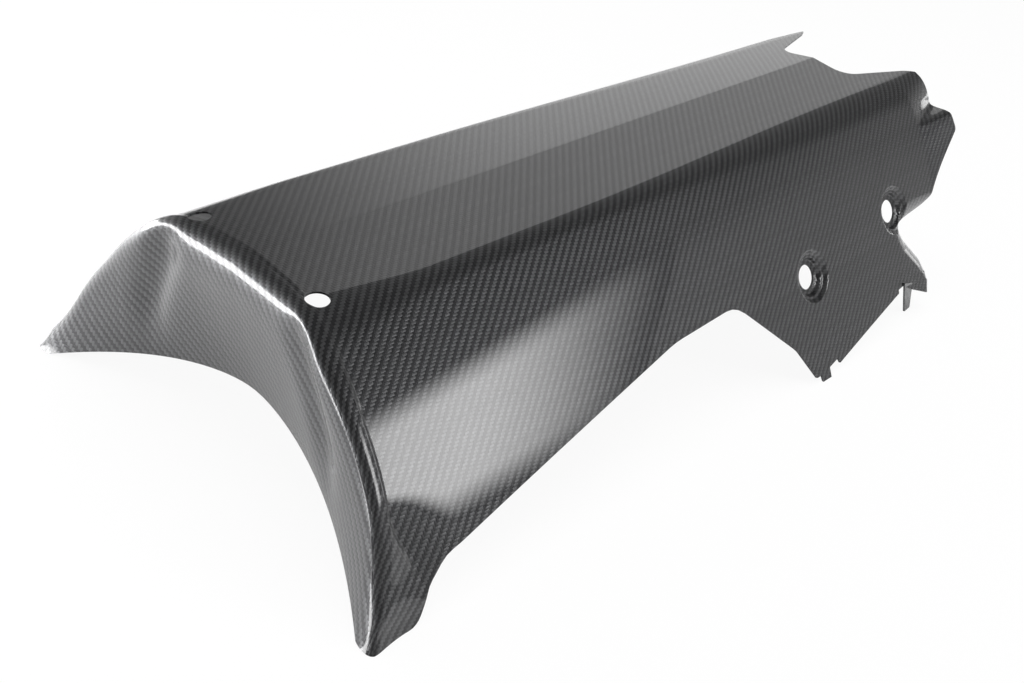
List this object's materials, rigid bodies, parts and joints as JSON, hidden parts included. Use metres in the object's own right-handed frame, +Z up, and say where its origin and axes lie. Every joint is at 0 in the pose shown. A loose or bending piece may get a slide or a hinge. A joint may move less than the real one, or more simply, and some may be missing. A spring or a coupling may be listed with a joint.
{
  "type": "motorcycle belly pan",
  "caption": "Full-length motorcycle belly pan in glossy woven carbon laminate, belly up, with flared front legs and dished side holes.",
  "frame": {"origin": "middle of the footprint, on the floor that the two front legs and the side tabs stand on", "axes": "+X to the side with the seen dished holes, +Y from the front wall to the rear cut, +Z up from the floor to the belly"},
  "size_m": [0.4208, 0.8156, 0.1999],
  "materials": {
    "laminate": "clear gloss coat over black twill weave"
  },
  "bodies": {
    "root": {"belly_pan_shell": "laminate"}
  },
  "joints": []
}
